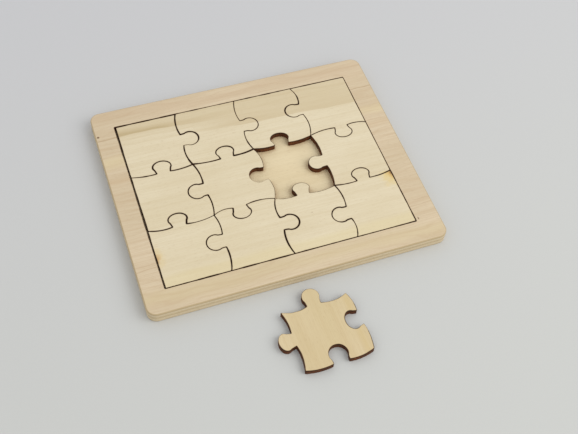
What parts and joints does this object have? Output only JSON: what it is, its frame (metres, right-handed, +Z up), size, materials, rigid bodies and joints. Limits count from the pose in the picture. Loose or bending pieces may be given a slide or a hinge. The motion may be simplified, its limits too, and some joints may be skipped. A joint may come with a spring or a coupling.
{
  "type": "wooden tray jigsaw puzzle",
  "caption": "Shallow plywood tray with a raised rim that holds interlocking laser-cut puzzle pieces, one of them lying loose in front.",
  "frame": {"origin": "centre of the tray's flat underside", "axes": "+X along the tray's long side, +Y away from the loose piece, +Z up out of the tray"},
  "size_m": [0.1424, 0.1614, 0.006],
  "materials": {
    "rim_plywood": "bare sanded plywood, pale pinkish beige",
    "base_plywood": "bare sanded plywood, warm cream",
    "piece_plywood": "bare plywood, pale cream faces, dark brown laser-burnt edges"
  },
  "bodies": {
    "tray": {"tray_base": "base_plywood", "tray_rim": "rim_plywood"},
    "piece_back_1": {"piece_back_1": "piece_plywood"},
    "piece_back_2": {"piece_back_2": "piece_plywood"},
    "piece_back_3": {"piece_back_3": "piece_plywood"},
    "piece_back_4": {"piece_back_4": "piece_plywood"},
    "piece_middle_1": {"piece_middle_1": "piece_plywood"},
    "piece_middle_2": {"piece_middle_2": "piece_plywood"},
    "piece_middle_4": {"piece_middle_4": "piece_plywood"},
    "piece_front_1": {"piece_front_1": "piece_plywood"},
    "piece_front_2": {"piece_front_2": "piece_plywood"},
    "piece_front_3": {"piece_front_3": "piece_plywood"},
    "piece_front_4": {"piece_front_4": "piece_plywood"},
    "loose_piece": {"loose_piece": "piece_plywood"}
  },
  "joints": [
    {"name": "lift_back_1", "type": "slide", "parent": "tray", "child": "piece_back_1", "axis": [0, 0, 1], "range_m": [0, 0.02]},
    {"name": "lift_back_2", "type": "slide", "parent": "tray", "child": "piece_back_2", "axis": [0, 0, 1], "range_m": [0, 0.02]},
    {"name": "lift_back_3", "type": "slide", "parent": "tray", "child": "piece_back_3", "axis": [0, 0, 1], "range_m": [0, 0.02]},
    {"name": "lift_back_4", "type": "slide", "parent": "tray", "child": "piece_back_4", "axis": [0, 0, 1], "range_m": [0, 0.02]},
    {"name": "lift_middle_1", "type": "slide", "parent": "tray", "child": "piece_middle_1", "axis": [0, 0, 1], "range_m": [0, 0.02]},
    {"name": "lift_middle_2", "type": "slide", "parent": "tray", "child": "piece_middle_2", "axis": [0, 0, 1], "range_m": [0, 0.02]},
    {"name": "lift_middle_4", "type": "slide", "parent": "tray", "child": "piece_middle_4", "axis": [0, 0, 1], "range_m": [0, 0.02]},
    {"name": "lift_front_1", "type": "slide", "parent": "tray", "child": "piece_front_1", "axis": [0, 0, 1], "range_m": [0, 0.02]},
    {"name": "lift_front_2", "type": "slide", "parent": "tray", "child": "piece_front_2", "axis": [0, 0, 1], "range_m": [0, 0.02]},
    {"name": "lift_front_3", "type": "slide", "parent": "tray", "child": "piece_front_3", "axis": [0, 0, 1], "range_m": [0, 0.02]},
    {"name": "lift_front_4", "type": "slide", "parent": "tray", "child": "piece_front_4", "axis": [0, 0, 1], "range_m": [0, 0.02]},
    {"name": "lift_loose_piece", "type": "slide", "parent": "tray", "child": "loose_piece", "axis": [0, 0, 1], "range_m": [0, 0.02]}
  ]
}
